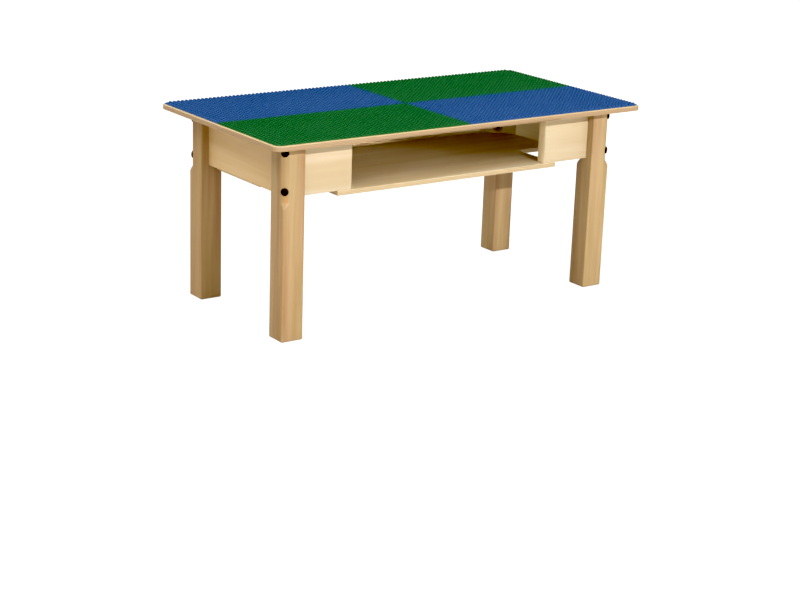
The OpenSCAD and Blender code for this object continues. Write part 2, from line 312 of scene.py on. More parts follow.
# %% Hang the scrim
scrim_aim = Vector((-0.002, -0.17, 0.2892))
scrim_distance = 0.28
scrim_width, scrim_height = 0.384, 0.064
scrim_thin, scrim_thick = -0.036, 0.012
scrim_grey = paint("202020")


def keep_mesh(bm, name):
    """Keeps a bmesh as a mesh."""
    mesh = bpy.data.meshes.new(name)
    bm.to_mesh(mesh)
    bm.free()
    return mesh


to_lamp = (lamp_place - scrim_aim).normalized()
scrim_finish = Finish("scrim_gauze")
scrim_up = scrim_finish.part(scrim_finish.node("TexCoord", output="Object"), "Y")
scrim_cover = scrim_finish.range(scrim_up, scrim_thin, scrim_thick)
scrim_material = scrim_finish.dress(Base_Color=scrim_grey, Roughness=1.0, Alpha=scrim_cover)
scrim_bm = bmesh.new()
scrim_shape = Matrix.Diagonal((scrim_width, scrim_height, 1, 1))
bmesh.ops.create_grid(scrim_bm, x_segments=1, y_segments=1, size=0.5, matrix=scrim_shape)
scrim_mesh = keep_mesh(scrim_bm, "scrim")
scrim_mesh.materials.append(scrim_material)
scrim = bpy.data.objects.new("scrim", scrim_mesh)
scrim_side = (Vector((1, 0, 0)) - to_lamp * to_lamp.x).normalized()
scrim_turn = Matrix((scrim_side, to_lamp.cross(scrim_side), to_lamp)).transposed().to_4x4()
scrim.matrix_world = Matrix.Translation(scrim_aim + scrim_distance * to_lamp) @ scrim_turn
scrim.visible_camera = False
bpy.context.scene.collection.objects.link(scrim)
scrim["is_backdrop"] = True
print("scrim hangs at", [round(part, 2) for part in scrim.matrix_world.translation])

# %% [markdown]
# Two weak strip lamps in front of the table, level with the opening, lighten the hollow's far
# corners. Their beams are narrow and pass between the two front aprons.

# %% Light the hollow
strip_height = 0.02
cool_light = (0.9, 1.0, 1.0)
strips = [
    # name, place, aim, power in W, width, the beam's angle in degrees, tint
    ("left_strip", (0.18, -0.5, 0.305), (-0.09, 0.125, 0.265), 0.112, 0.26, 9, plain_light),
    ("right_strip", (-0.3, -0.5, 0.31), (0.25, 0.1, 0.27), 0.026, 0.2, 12, cool_light),
]
for name, place, aim, power, width, beam, tint in strips:
    add_lamp(name, Vector(place), Vector(aim), power, width, strip_height, beam, tint)
    print(name, "has", power, "W")

# %% [markdown]
# A catalogue picture has deep darks: a little light is taken from the whole of it, which also
# makes the dark tones richer in colour. A black level in the view's curves does the same.

# %% Set the picture's tones
black_level = 0.045
view = bpy.context.scene.view_settings
view.view_transform = "Standard"
view.use_curve_mapping = True
view.curve_mapping.black_level = (black_level, black_level, black_level)
view.curve_mapping.update()
print("black level:", black_level)

# %% [markdown]
# ## The floor
# The floor is a wide sheet with a faint mottle. The camera sees a darker sheet that glows
# almost white, which leaves only a trace of the table's shadow, as in a catalogue picture.
# Everything else sees a plain grey one, so that little light comes back up under the table.
# From below the sheet is clear, so that the table's underside can be looked at.

# %% Lay the floor
floor_size = 60
mottle_scale = 1.5
floor_finish = Finish("studio_floor")
floor_coords = floor_finish.node("TexCoord", output="Object")
floor_mottle = floor_finish.noise(floor_coords, mottle_scale, 3)
floor_seen = floor_finish.node("LightPath", output="Is Camera Ray")
pale_grey = floor_finish.mix(floor_mottle, paint("A69F94"), paint("ACA59A"))
dark_grey = floor_finish.mix(floor_mottle, paint("565656"), paint("5C5C5C"))
floor_glow = floor_finish.mix(floor_seen, paint("000000"), paint("F4F4F4"))
floor_back = floor_finish.node("NewGeometry", output="Backfacing")
floor_material = floor_finish.dress(
    Base_Color=floor_finish.mix(floor_seen, pale_grey, dark_grey),
    Roughness=0.9,
    Emission_Color=floor_glow,
    Emission_Strength=1.0,
    Alpha=1 - floor_back,
)

floor_bm = bmesh.new()
bmesh.ops.create_grid(floor_bm, x_segments=1, y_segments=1, size=floor_size / 2)
floor_mesh = keep_mesh(floor_bm, "floor")
floor_mesh.materials.append(floor_material)
floor = bpy.data.objects.new("floor", floor_mesh)
bpy.context.scene.collection.objects.link(floor)
floor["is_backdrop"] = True
print("floor laid:", floor_size, "m wide")

# %% [markdown]
# ## Wood
# The panels and aprons are birch plywood, and the legs are solid. Both have fibres that run
# one way, so a noise stretched along the fibres gives the figure, and a finer one the pores.
# Plywood shows thin sheets on its edges, light and dark in turn, with thin glue lines. The
# same maths makes both: an edge is where the surface looks along the sheets.
# Each piece has its own seed, so that no two boards show the same figure. Along the fibres the
# wood turns a little pinker or yellower, which a change of hue does.

# %% Draw out the fibres and the plies
fibre_stretch = 0.05
seed_step = (0.37, 0.61, 0.23)
ply_waver, ply_waver_scale = 0.12, 40
dark_ply_share, glue_share, glue_brown = 0.55, 0.15, "6B4526"


def fibre_space(finish, grain, seed):
    """Object coordinates drawn out along the fibres, and moved on for each board."""
    place = finish.node("TexCoord", output="Object")
    stretch = [fibre_stretch if axis == grain else 1.0 for axis in "XYZ"]
    shift = [seed * part for part in seed_step]
    return finish.node("Mapping", None, {"Vector": place, "Location": shift, "Scale": stretch})


def ply_edge(finish, face_colour, axis, start, thickness, pale, deep):
    """Lays the plies over the colour where the surface looks along the sheets."""
    place = finish.node("TexCoord", output="Object")
    normal = finish.node("NewGeometry", output="Normal")
    across = finish.math("ABSOLUTE", finish.part(normal, axis))
    edge = 1 - finish.range(across, 0.35, 0.8)
    depth = finish.part(place, axis)
    count = (depth - start) / thickness + ply_waver * finish.noise(place, ply_waver_scale, 2)
    dark_sheet = finish.range(finish.math("PINGPONG", count, 1.0), 0.35, 0.65)
    glue = finish.range(finish.math("PINGPONG", count, 0.5), 0.42, 0.5)
    sheet_colour = finish.mix(dark_sheet * dark_ply_share, paint(pale), paint(deep))
    sheet_colour = finish.mix(glue * glue_share, sheet_colour, paint(glue_brown))
    return finish.mix(edge, face_colour, sheet_colour)


print("fibres are drawn out", round(1 / fibre_stretch), "times")

# %% [markdown]
# Two marks belong to solid wood alone. Its ends are darker, because the fibres stand on end
# there and drink more lacquer, and the front left leg has two short orange strokes of resin.

# %% Mark the ends and the resin
end_share, end_brown = 0.5, "9A6B3C"
resin_share, resin_orange = 0.7, "B0762E"
resin_thin, resin_fade = 0.4 * mm, 1.4 * mm
resin_strokes = [
    # to the side, down, and half of the length
    (0.5 * mm, 0, 5 * mm),
    (3.6 * mm, 3 * mm, 6 * mm),
]


def end_grain(finish, face_colour, grain):
    """Darkens the ends of solid wood, where the fibres stand on end."""
    normal = finish.node("NewGeometry", output="Normal")
    facing = finish.math("ABSOLUTE", finish.part(normal, grain))
    return finish.mix(finish.range(facing, 0.3, 0.9) * end_share, face_colour, paint(end_brown))


def resin_streaks(finish, face_colour, resin):
    """Two short orange strokes along a leg's front left corner, at the given point."""
    place = finish.node("TexCoord", output="Object")
    across = (finish.part(place, "X") - finish.part(place, "Y")) * math.sqrt(0.5)
    height = finish.part(place, "Z")
    strokes = 0
    for side, drop, half_length in resin_strokes:
        middle = (resin.x - resin.y) * math.sqrt(0.5) + side
        aside = finish.math("ABSOLUTE", across - middle)
        along = finish.math("ABSOLUTE", height - (resin.z - drop))
        thin = 1 - finish.range(aside, resin_thin, resin_fade)
        strokes = strokes + thin * (1 - finish.range(along, half_length * 0.5, half_length))
    return finish.mix(strokes * resin_share, face_colour, paint(resin_orange))


print("strokes of resin:", len(resin_strokes))

# %% [markdown]
# Now the whole finish. Bands of figure, fine streaks and a soft blotch set how deep the tone
# is, pores darken it in dots, and the lacquer follows streaks and pores in gloss and relief.

# %% Make the wood finish
leg_hue_swing = 0.014
board_hue_swing = 0.005
blush_scale, band_scale, streak_scale, pore_scale, blotch_scale = 70, 34, 160, 900, 6
wood_bump, wood_relief = 0.35, 0.06 * mm


def wood(name, grain, seed, pale, deep, sheets=None, figure=0.5, resin=None, rim=None):
    """Lacquered wood with fibres along the grain axis. On plywood, sheets is the axis, start,
    thickness and two colours of the plies. resin is a place where resin shows, and rim a
    darker colour laid over what faces up as painted shade."""
    finish = Finish(name)
    fibres = fibre_space(finish, grain, seed)
    blush = finish.range(finish.noise(fibres, blush_scale, 2), 0.35, 0.65)
    bands = finish.noise(fibres, band_scale, 3, 0.8)
    streaks = finish.noise(fibres, streak_scale, 3)
    pores = finish.range(finish.noise(fibres, pore_scale, 2), 0.62, 0.74)
    blotch = finish.noise(finish.node("TexCoord", output="Object"), blotch_scale, 2)
    stripes = 0.25 * streaks if sheets else 0.3 * finish.range(streaks, 0.38, 0.62) - 0.02
    tone = figure * finish.range(bands, 0.3, 0.7) + stripes + 0.35 * blotch - 0.1
    colour = finish.mix(tone, paint(pale), paint(deep))
    colour = finish.mix(pores * 0.25, colour, paint(deep))
    hue = 0.5 + (board_hue_swing if sheets else leg_hue_swing) * (0.5 - blush)
    colour = finish.node("HueSaturation", None, {"Hue": hue, "Color": colour})
    if resin:
        colour = resin_streaks(finish, colour, resin)
    if sheets:
        colour = ply_edge(finish, colour, *sheets)
    else:
        colour = end_grain(finish, colour, grain)
    # Painted shade: a darker colour over the faces that look up, which is not a colour of the
    # wood.
    if rim:
        shade_upward = finish.part(finish.node("NewGeometry", output="Normal"), "Z")
        colour = finish.mix(finish.range(shade_upward, 0.1, 0.6), colour, paint(rim))
    relief = streaks * 0.6 + pores * -0.8
    bump_inputs = {"Strength": wood_bump, "Distance": wood_relief, "Height": relief}
    bump = finish.node("Bump", None, bump_inputs)
    rough = 0.36 + 0.14 * streaks + 0.1 * pores
    return finish.dress(Base_Color=colour, Roughness=rough, Normal=bump)


print("cells of the pore noise in mm:", round(1 / pore_scale / mm, 1))

# %% [markdown]
# Each board and leg has a pale and a deep tone, and the figure runs between the two. On the
# top, the front aprons and the shelf the plies have such a pair of their own.

# %% Choose the woods' tones
top_pale, top_deep = "D9C4A0", "C6A87E"
top_edge_pale, top_edge_deep = "998266", "82684A"
# Painted shade for the top's upward faces, the lip round the plates.
top_painted_shade = "A08A66"
side_pale, side_deep = "C3AB85", "AE8F61"
front_pale, front_deep = "BAAD96", "A89472"
# The front aprons' plies are real plies painted paler: painted light on their ends in the shaded
# opening.
front_edge_painted_light_pale, front_edge_painted_light_deep = "E6D6B8", "D4BE94"
# The right side apron is the same ply painted paler: painted light on its inner face in the
# hollow.
right_apron_painted_light_pale, right_apron_painted_light_deep = "D4C099", "C4A978"
# The back apron is the same ply painted darker: painted shade for its face in the hollow.
back_apron_painted_shade_pale, back_apron_painted_shade_deep = "9D8B69", "917954"
shelf_pale, shelf_deep = "DBCFB3", "C2AD85"
shelf_edge_pale, shelf_edge_deep = "AF9E7F", "9B825D"
front_leg_pale, front_leg_deep = "9E8664", "8B6F4C"
back_leg_pale, back_leg_deep = "9A805B", "876A46"
right_leg_pale, right_leg_deep = "A38C68", "8E7452"
# The corner blocks are painted darker than their wood: painted shade, so they sink into the shaded
# hollow.
block_painted_shade_pale, block_painted_shade_deep = "907A59", "7B603D"
print("the top's pale tone, linear:", [round(part, 3) for part in paint(top_pale)])

# %% [markdown]
# ## Putting pieces in the scene
# Every new piece is a bmesh until it is finished. A board starts as a box, and a bevel rounds
# its edges.

# %% Start and ease a board
def block(low, high):
    """A bmesh of the box between two corners."""
    bm = bmesh.new()
    size = high - low
    place = Matrix.Translation((low + high) / 2) @ Matrix.Diagonal((*size, 1))
    bmesh.ops.create_cube(bm, size=1, matrix=place)
    return bm


def ease(bm, edges, radius, segments=3):
    """Rounds edges."""
    bmesh.ops.bevel(
        bm, geom=list(edges), offset=radius, offset_type="OFFSET", segments=segments,
        profile=0.5, affect="EDGES", material=-1, clamp_overlap=True,
    )


print("helpers for boards:", block.__name__, "and", ease.__name__)

# %% [markdown]
# A finished mesh is handed over with smooth faces and marked sharp edges. The piece rides on
# the frame and stands for the CAD node that it replaces. A CAD solid that is fine enough as it
# is only gets a material.

# %% Put a piece in the scene
sharp_angle = math.radians(38)


def add_piece(bm, name, material, slot, *nodes):
    """Makes a piece of a bmesh. It stands for the CAD nodes that are named."""
    bmesh.ops.recalc_face_normals(bm, faces=bm.faces)
    for face in bm.faces:
        face.smooth = True
    for edge in bm.edges:
        if edge.is_manifold:
            edge.smooth = edge.calc_face_angle() < sharp_angle
    mesh = keep_mesh(bm, name)
    mesh.materials.append(material)
    piece = bpy.data.objects.new(name, mesh)
    bpy.context.scene.collection.objects.link(piece)
    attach(piece, "root")
    if nodes:
        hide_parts(*nodes)
    print(name, "has", len(mesh.polygons), "faces")


def dress_node(node, material):
    """Gives a CAD node a material."""
    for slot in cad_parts[node].material_slots:
        slot.material = material
    print(node, "wears", material.name)


print("edges stay sharp from", round(math.degrees(sharp_angle)), "degrees")

# %% [markdown]
# ## The tabletop
# The panel is 9 mm birch plywood. A box with its four upright edges rounded by 15 mm, and
# then all its rims eased by 1.5 mm, has the soft edge that catches a thin line of light.

# %% Shape the tabletop
top_corner = 15 * mm
wood_ease = 1.5 * mm
ply = 1.3 * mm
top_low, top_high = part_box("tabletop")


def rims(bm):
    """Edges between an upright face and a level one."""
    found = []
    for edge in bm.edges:
        level = [abs(face.normal.z) > 0.5 for face in edge.link_faces]
        if len(level) == 2 and level[0] != level[1]:
            found.append(edge)
    return found


def uprights(bm):
    """Edges that run along Z."""
    return [e for e in bm.edges if abs((e.verts[0].co - e.verts[1].co).normalized().z) > 0.99]


top_bm = block(top_low, top_high)
ease(top_bm, uprights(top_bm), top_corner, segments=10)
bmesh.ops.recalc_face_normals(top_bm, faces=top_bm.faces)
top_bm.normal_update()
ease(top_bm, rims(top_bm), wood_ease, segments=4)
top_sheets = ("Z", top_low.z, ply, top_edge_pale, top_edge_deep)
# The top wears painted shade on its upward faces.
top_wood = wood("tabletop_birch", "X", 1, top_pale, top_deep, top_sheets, rim=top_painted_shade)
add_piece(top_bm, "tabletop_panel", top_wood, "panel_wood", "tabletop")

# %% [markdown]
# ## The building plates
# Each plate is a thin moulded sheet with studs 8 mm apart. A stud is closed below and stands
# a little inside the sheet, as the moulding is solid.

# %% Shape one stud
pitch = 8 * mm
stud_radius = 2.4 * mm
stud_height = 1.8 * mm
stud_root = 0.3 * mm
stud_sides = 16
stud_ease = 0.3 * mm


def stamp(bm, mesh, place):
    """Adds a copy of a mesh to a bmesh."""
    copy = mesh.copy()
    copy.transform(place)
    bm.from_mesh(copy)
    bpy.data.meshes.remove(copy)


stud_bm = bmesh.new()
stud_place = Matrix.Translation((0, 0, (stud_height - stud_root) / 2))
bmesh.ops.create_cone(
    stud_bm, cap_ends=True, segments=stud_sides, radius1=stud_radius, radius2=stud_radius,
    depth=stud_height + stud_root, matrix=stud_place,
)
stud_rim = [e for e in stud_bm.edges if all(v.co.z > stud_height * 0.9 for v in e.verts)]
ease(stud_bm, stud_rim, stud_ease, segments=2)
stud_mesh = keep_mesh(stud_bm, "stud")
print("one stud has", len(stud_mesh.polygons), "faces")

# %% [markdown]
# A row is stamped from the stud, and the plate from rows, which is much quicker than modelling
# each stud. The stud that would hang over the rounded outer corner is left out.

# %% Make the helper for a plate
plate_thickness = 1.4 * mm
plate_corner = 11 * mm
plate_ease = 0.25 * mm


def building_plate(node, x_side, y_side, material):
    """A plate in the quarter of the table where x and y have the given signs."""
    low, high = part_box(node)
    columns = round((high.x - low.x) / pitch)
    rows = round((high.y - low.y) / pitch)
    bm = block(low, Vector((high.x, high.y, low.z + plate_thickness)))
    outer = Vector((high.x if x_side > 0 else low.x, high.y if y_side > 0 else low.y, 0))
    corner = [e for e in uprights(bm) if (e.verts[0].co.xy - outer.xy).length < mm]
    ease(bm, corner, plate_corner, segments=6)
    bm.normal_update()
    ease(bm, [e for e in rims(bm) if e.verts[0].co.z > low.z + mm], plate_ease, segments=2)
    row_bm = bmesh.new()
    for column in range(columns):
        stamp(row_bm, stud_mesh, Matrix.Translation((x_side * (column + 0.5) * pitch, 0, 0)))
    full_row = keep_mesh(row_bm, "stud_row")
    for row in range(rows - 1):
        place = Vector((0, y_side * (row + 0.5) * pitch, low.z + plate_thickness))
        stamp(bm, full_row, Matrix.Translation(place))
    for column in range(columns - 1):
        x, y = x_side * (column + 0.5) * pitch, y_side * (rows - 0.5) * pitch
        place = Vector((x, y, low.z + plate_thickness))
        stamp(bm, stud_mesh, Matrix.Translation(place))
    bpy.data.meshes.remove(full_row)
    slot = "blue_plastic" if "blue" in material.name else "green_plastic"
    add_piece(bm, node.replace("stud_plate", "building_plate"), material, slot, node)


print("a plate is", round(plate_thickness / mm, 1), "mm thick without its studs")

# %% [markdown]
# The plates' plastic is coloured right through and only slightly glossy. It is a little cloudy
# from the moulding, with a fine grit in its surface, and scuffs make it paler in places.

# %% Make the plastics and the four plates
plastic_gloss = 0.04
cloud_scale, grit_scale, scuff_scale = 9, 700, 260


def plastic(name, colour, light, seed):
    """Moulded plastic, a little cloudy, with scuffs."""
    finish = Finish(name)
    place = finish.node("TexCoord", output="Object")
    shifted = finish.node("Mapping", None, {"Vector": place, "Location": (seed, seed * 0.7, 0)})
    cloud = finish.noise(shifted, cloud_scale, 3)
    grit = finish.noise(shifted, grit_scale, 2)
    scuff = finish.range(finish.noise(shifted, scuff_scale, 3, 1.5), 0.58, 0.7)
    tone = finish.mix(0.25 * cloud + 0.3 * scuff * grit, paint(colour), paint(light))
    bump = finish.node("Bump", None, {"Strength": 0.2, "Distance": 0.03 * mm, "Height": grit})
    rough = 0.34 + 0.12 * cloud + 0.16 * scuff
    return finish.dress(
        Base_Color=tone, Roughness=rough, Normal=bump, Specular_IOR_Level=plastic_gloss,
    )


blue = plastic("blue_building_plastic", "2C466E", "495E83", 0.3)
green = plastic("green_building_plastic", "25512D", "406845", 0.8)
building_plate("stud_plate_back_left", -1, 1, blue)
building_plate("stud_plate_back_right", 1, 1, green)
building_plate("stud_plate_front_left", -1, -1, green)
building_plate("stud_plate_front_right", 1, -1, blue)
bpy.data.meshes.remove(stud_mesh)

# %% [markdown]
# ## The legs
# Each leg is square, with a chamfer on its outer and its inner corner that ends in a short
# slope below the aprons. A bevel on the upper part of a corner stops in a level step, and
# pulling the corner point of that step down turns the step into the slope.

# %% Shape the legs
leg_chamfer = 10 * mm
chamfer_drop = 5.5 * mm
chamfer_runout = 12 * mm
leg_ease = 2.4 * mm
hard_angle = math.radians(20)
apron_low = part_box("back_apron")[0].z


def leg(node, seed, pale, deep, resin=None):
    """One leg, from its CAD node's box."""
    low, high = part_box(node)
    bm = block(low, high)
    step = apron_low - chamfer_drop
    every = bm.verts[:] + bm.edges[:] + bm.faces[:]
    bmesh.ops.bisect_plane(bm, geom=every, plane_co=(0, 0, step), plane_no=(0, 0, 1))
    outer = Vector((max((low.x, high.x), key=abs), max((low.y, high.y), key=abs)))
    inner = Vector((min((low.x, high.x), key=abs), min((low.y, high.y), key=abs)))
    tall = []
    for edge in uprights(bm):
        upper = min(v.co.z for v in edge.verts) > step - mm
        if upper and any((edge.verts[0].co.xy - c).length < mm for c in (outer, inner)):
            tall.append(edge)
    ease(bm, tall, leg_chamfer, segments=1)
    for vert in bm.verts:
        at_step = abs(vert.co.z - step) < mm
        if at_step and any((vert.co.xy - c).length < mm for c in (outer, inner)):
            vert.co.z -= chamfer_runout
    bm.normal_update()
    hard = [e for e in bm.edges if e.calc_face_angle() > hard_angle]
    below_top = [e for e in hard if min(v.co.z for v in e.verts) < high.z - mm]
    ease(bm, below_top, leg_ease, segments=4)
    finish = wood(node + "_wood", "Z", seed, pale, deep, figure=0.6, resin=resin)
    add_piece(bm, node.replace("leg", "square_leg"), finish, "leg_wood", node)


resin_place = Vector((-345, -153, 245)) * mm
leg("leg_front_left", 3, front_leg_pale, front_leg_deep, resin_place)
leg("leg_back_left", 4, back_leg_pale, back_leg_deep)
leg("leg_front_right", 5, right_leg_pale, right_leg_deep)
leg("leg_back_right", 6, right_leg_pale, right_leg_deep)

# %% [markdown]
# ## The aprons, the shelf and the blocks
# The side and back aprons keep their CAD solids, which have the eased edges and the screw
# pockets. The corner blocks keep theirs too.

# %% Dress the aprons and the blocks
apron_ply = 1.4 * mm
apron_woods = [
    ("side_apron_left", "Y", "X", 11, side_pale, side_deep),
    # painted light: the right apron's paler tones lighten its inner face in the hollow
    ("side_apron_right", "Y", "X", 12, right_apron_painted_light_pale, right_apron_painted_light_deep),
    # painted shade: the back apron's darker tones match the shade in the hollow
    ("back_apron", "X", "Y", 13, back_apron_painted_shade_pale, back_apron_painted_shade_deep),
]
for node, grain, across, seed, pale, deep in apron_woods:
    sheets = (across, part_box(node)[0]["XYZ".index(across)], apron_ply, pale, deep)
    dress_node(node, wood(node + "_birch", grain, seed, pale, deep, sheets))
for number, corner in enumerate(["front_left", "front_right", "back_left", "back_right"]):
    node = "corner_block_" + corner
    # The blocks' darker tones are painted shade.
    dress_node(node, wood(node + "_wood", "Z", 20 + number, block_painted_shade_pale, block_painted_shade_deep))

# %% [markdown]
# The two short front aprons show their ends in the opening, so they are made again with all
# edges eased.

# %% Shape the short front aprons
for node, seed in (("front_apron_left", 14), ("front_apron_right", 15)):
    low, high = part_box(node)
    board = block(low, high)
    ease(board, board.edges[:], wood_ease)
    # Their plies are partly painted light, paler than plies are, so the ends in the shaded opening
    # look lit.
    sheets = ("Y", low.y, apron_ply, front_edge_painted_light_pale, front_edge_painted_light_deep)
    board_wood = wood(node + "_birch", "X", seed, front_pale, front_deep, sheets)
    add_piece(board, node + "_board", board_wood, "apron_wood", node)

# %% [markdown]
# ## The shelf
# The shelf is one plywood panel. Its front corners are cut away, so that its front edge spans
# the opening and ends a little past it, and two small notches clear the back legs. An outline
# of a few points is extruded to the panel's thickness and all its edges are eased.

# %% Shape the shelf
shelf_low, shelf_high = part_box("storage_shelf")
opening_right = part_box("front_apron_right")[0].x
shelf_lap = 28 * mm
shelf_notch = 111 * mm
leg_gap = 2 * mm
shelf_ease = 1.2 * mm
back_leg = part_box("leg_back_right")[0]
notch_y = shelf_low.y + shelf_notch
tongue = opening_right + shelf_lap
outline = [
    (tongue, shelf_low.y),
    (tongue, notch_y),
    (shelf_high.x, notch_y),
    (shelf_high.x, back_leg.y - leg_gap),
    (back_leg.x - leg_gap, back_leg.y - leg_gap),
    (back_leg.x - leg_gap, shelf_high.y),
]
outline += [(-x, y) for x, y in reversed(outline)]
shelf_bm = bmesh.new()
shelf_face = shelf_bm.faces.new([shelf_bm.verts.new((x, y, shelf_low.z)) for x, y in outline])
raised = bmesh.ops.extrude_face_region(shelf_bm, geom=[shelf_face])["geom"]
lift = [v for v in raised if isinstance(v, bmesh.types.BMVert)]
bmesh.ops.translate(shelf_bm, vec=(0, 0, shelf_high.z - shelf_low.z), verts=lift)
bmesh.ops.recalc_face_normals(shelf_bm, faces=shelf_bm.faces)
ease(shelf_bm, shelf_bm.edges[:], shelf_ease)
shelf_sheets = ("Z", shelf_low.z, ply, shelf_edge_pale, shelf_edge_deep)
shelf_wood = wood("shelf_birch", "X", 16, shelf_pale, shelf_deep, shelf_sheets)
add_piece(shelf_bm, "shelf_panel", shelf_wood, "panel_wood", "storage_shelf")

# %% [markdown]
# ## Finishes of the metal parts
# The bolts and nuts are blackened steel, with small brighter flecks where the finish has worn
# through. The nuts are painted browner: a painted reflection of the brown wood round them in
# the dark hollow.

# %% Make the dark steels
worn_steel = paint("54483C")
steel_grit_scale, wear_scale = 1400, 420


def dark_steel(name, pale, deep, gloss):
    """Blackened steel with small worn flecks."""
    finish = Finish(name)
    place = finish.node("TexCoord", output="Object")
    grit = finish.noise(place, steel_grit_scale, 3)
    wear = finish.range(finish.noise(place, wear_scale, 4, 0.6), 0.62, 0.74)
    colour = finish.mix(wear * 0.4, finish.mix(grit, paint(deep), paint(pale)), worn_steel)
    bump = finish.node("Bump", None, {"Strength": 0.2, "Distance": 0.02 * mm, "Height": grit})
    return finish.dress(
        Base_Color=colour, Metallic=0.1, Roughness=0.36 + 0.2 * grit, Normal=bump,
        Specular_IOR_Level=gloss,
    )


black_oxide = dark_steel("black_oxide", "281A12", "1A100B", 0.12)
# The nuts' brown is a painted reflection of the wood round them in the hollow.
nut_painted_reflection_steel = dark_steel("nut_painted_reflection_steel", "7A6246", "5E4630", 0.3)
print("dark steels:", black_oxide.name, "and", nut_painted_reflection_steel.name)

# %% [markdown]
# The screws are zinc plated, which is bright with a milky bloom and a fine grain.

# %% Make the zinc plate
bloom_scale, grain_scale = 240, 2200
zinc = Finish("zinc_plate")
zinc_place = zinc.node("TexCoord", output="Object")
bloom = zinc.noise(zinc_place, bloom_scale, 3, 0.4)
grain = zinc.noise(zinc_place, grain_scale, 2)
zinc_plate = zinc.dress(
    Base_Color=zinc.mix(bloom, paint("A9ABAA"), paint("C9C8C1")),
    Metallic=1.0,
    Roughness=0.26 + 0.2 * bloom + 0.1 * grain,
    Normal=zinc.node("Bump", None, {"Strength": 0.15, "Distance": 0.02 * mm, "Height": grain}),
)
print("screws' finish:", zinc_plate.name)

# %% [markdown]
# ## Bolts, nuts and screws
# The fasteners repeat, so each kind is modelled once at the origin, with its head's top at
# z = 0 and its shank pointing down, and stamped at the places of the CAD solids. The solids
# of one node share a mesh, so they are told apart first, by walking along their edges.

# %% Tell the solids of a node apart
merge_distance = 1e-6


def solids(node):
    """The points of each separate solid in a CAD node."""
    bm = bmesh.new()
    bm.from_mesh(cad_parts[node].data)
    bmesh.ops.remove_doubles(bm, verts=bm.verts, dist=merge_distance)
    left = set(bm.verts)
    found = []
    while left:
        solid, front = [], [left.pop()]
        while front:
            vert = front.pop()
            solid.append(vert.co)
            near = {edge.other_vert(vert) for edge in vert.link_edges} & left
            left -= near
            front += near
        found.append(np.array(solid))
    bm.free()
    return found


print("solids in leg_bolts:", len(solids("leg_bolts")))

# %% [markdown]
# A place is read from a solid's own points. Of its three main directions two are equally wide,
# so the odd one is the axis, and the wider end is the head.

# %% Find the fasteners' places
def head_places(node):
    """For each solid, a matrix with its origin at the top of the head and +Z out of it. All
    solids of a node are equally long, so their length is given once."""
    places = []
    for points in solids(node):
        middle = (points.min(0) + points.max(0)) / 2
        spread, directions = np.linalg.svd(points - middle, full_matrices=False)[1:]
        odd = 0 if spread[0] - spread[1] > spread[1] - spread[2] else 2
        axis = directions[odd]
        along = (points - middle) @ axis
        away = np.linalg.norm((points - middle) - np.outer(along, axis), axis=1)
        if away[along > 0].max() < away[along < 0].max():
            axis, along = -axis, -along
        centre = Vector(middle + axis * along.max())
        turn = Vector(axis).to_track_quat("Z", "Y").to_matrix().to_4x4()
        places.append(Matrix.Translation(centre) @ turn)
    length = float(along.max() - along.min())
    print(node, "has", len(places), "solids,", round(length / mm, 2), "mm long")
    return places, length


bolt_places, bolt_length = head_places("leg_bolts")
nut_places, nut_length = head_places("flanged_nuts")
block_screw_places, block_screw_length = head_places("block_screws")
top_screw_places, top_screw_length = head_places("top_screws")
shelf_screw_places, shelf_screw_length = head_places("shelf_screws")

# %% [markdown]
# Every fastener is turned, as on a lathe: a profile of a few points is spun about its axis, and
# a thread is a run of points that goes in and out.

# %% Turn a profile
spin_steps = 48
thread_root = 0.88
thread_tip = 0.8


def turned(profile, ring=False):
    """Spins (radius, z) points about Z. A ring's profile closes on itself."""
    bm = bmesh.new()
    points = [bm.verts.new((radius, 0, z)) for radius, z in profile]
    after = points[1:] + points[:1] if ring else points[1:]
    lines = [bm.edges.new(pair) for pair in zip(points, after)]
    bmesh.ops.spin(
        bm, geom=points + lines, cent=(0, 0, 0), axis=(0, 0, 1),
        angle=2 * math.pi, steps=spin_steps, use_merge=True,
    )
    bmesh.ops.remove_doubles(bm, verts=bm.verts[:], dist=merge_distance)
    return bm


def thread(radius, top, bottom, step):
    """Points of a thread between two heights, from the top down, and a tapered end."""
    points = []
    for turn in range(round((top - bottom) / step)):
        z = top - turn * step
        points += [(radius * thread_root, z - 0.1 * step), (radius, z - 0.5 * step)]
    return points + [(radius * thread_tip, bottom)]


print("steps in a full turn:", spin_steps)

# %% [markdown]
# Only the drive isn't round. Its outline is extruded down into the head and closed, and the
# flat ring between it and the head's open mouth is filled. Then the finished fastener is
# stamped at each of its places.

# %% Sink a drive and stamp the fasteners
def sink_drive(bm, outline, depth, taper=1.0):
    """Sinks a drive of (x, y) points into the open mouth of a turned head."""
    mouth = [edge for edge in bm.edges if edge.is_boundary]
    level = mouth[0].verts[0].co.z
    corners = [bm.verts.new((x, y, level)) for x, y in outline]
    rim = [bm.edges.new(pair) for pair in zip(corners, corners[1:] + corners[:1])]
    made = bmesh.ops.extrude_edge_only(bm, edges=rim)["geom"]
    low_corners = [item for item in made if isinstance(item, bmesh.types.BMVert)]
    made_edges = [item for item in made if isinstance(item, bmesh.types.BMEdge)]
    low_rim = [edge for edge in made_edges if set(edge.verts) <= set(low_corners)]
    bmesh.ops.translate(bm, vec=(0, 0, -depth), verts=low_corners)
    bmesh.ops.scale(bm, vec=(taper, taper, 1), verts=low_corners)
    bmesh.ops.contextual_create(bm, geom=low_rim)
    bmesh.ops.triangle_fill(bm, use_beauty=True, edges=mouth + rim)


